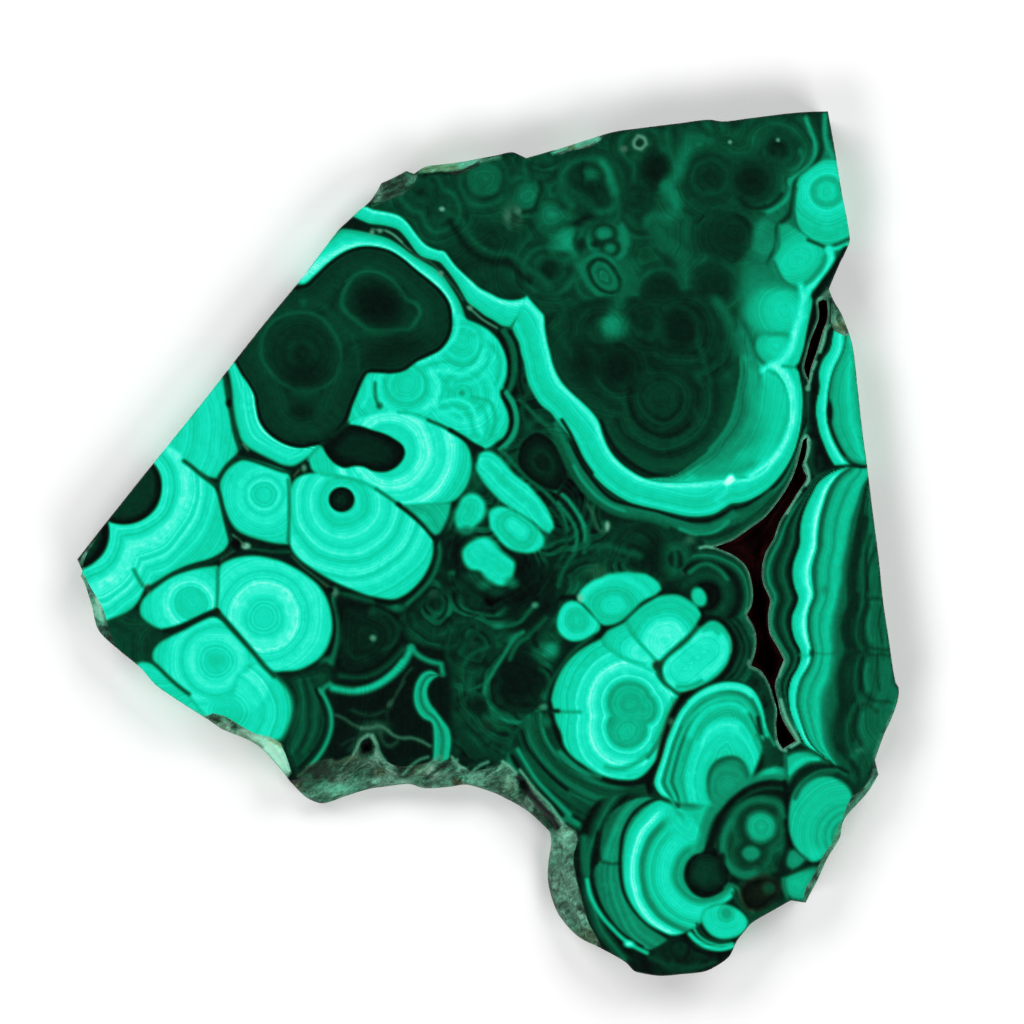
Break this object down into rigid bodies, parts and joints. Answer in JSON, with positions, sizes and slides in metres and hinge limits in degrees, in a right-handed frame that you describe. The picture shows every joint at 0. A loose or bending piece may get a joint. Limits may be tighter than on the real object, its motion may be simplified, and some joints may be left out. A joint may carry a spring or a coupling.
{
  "type": "polished malachite slab",
  "caption": "Flat slice of banded green malachite with a polished face, a rough natural rind along parts of its rim, and a dark narrow hollow near one side.",
  "frame": {"origin": "middle of the slab's underside, at the centre of its bounding box seen from above", "axes": "+Z out of the polished face, +Y along the slab's longest extent towards its squared upper corner, +X across it"},
  "size_m": [0.1152, 0.1211, 0.008],
  "materials": {
    "malachite": "polished face with light and dark green bands, rough grey-green rind, sawn matt back"
  },
  "bodies": {
    "root": {"slab": "malachite"}
  },
  "joints": []
}
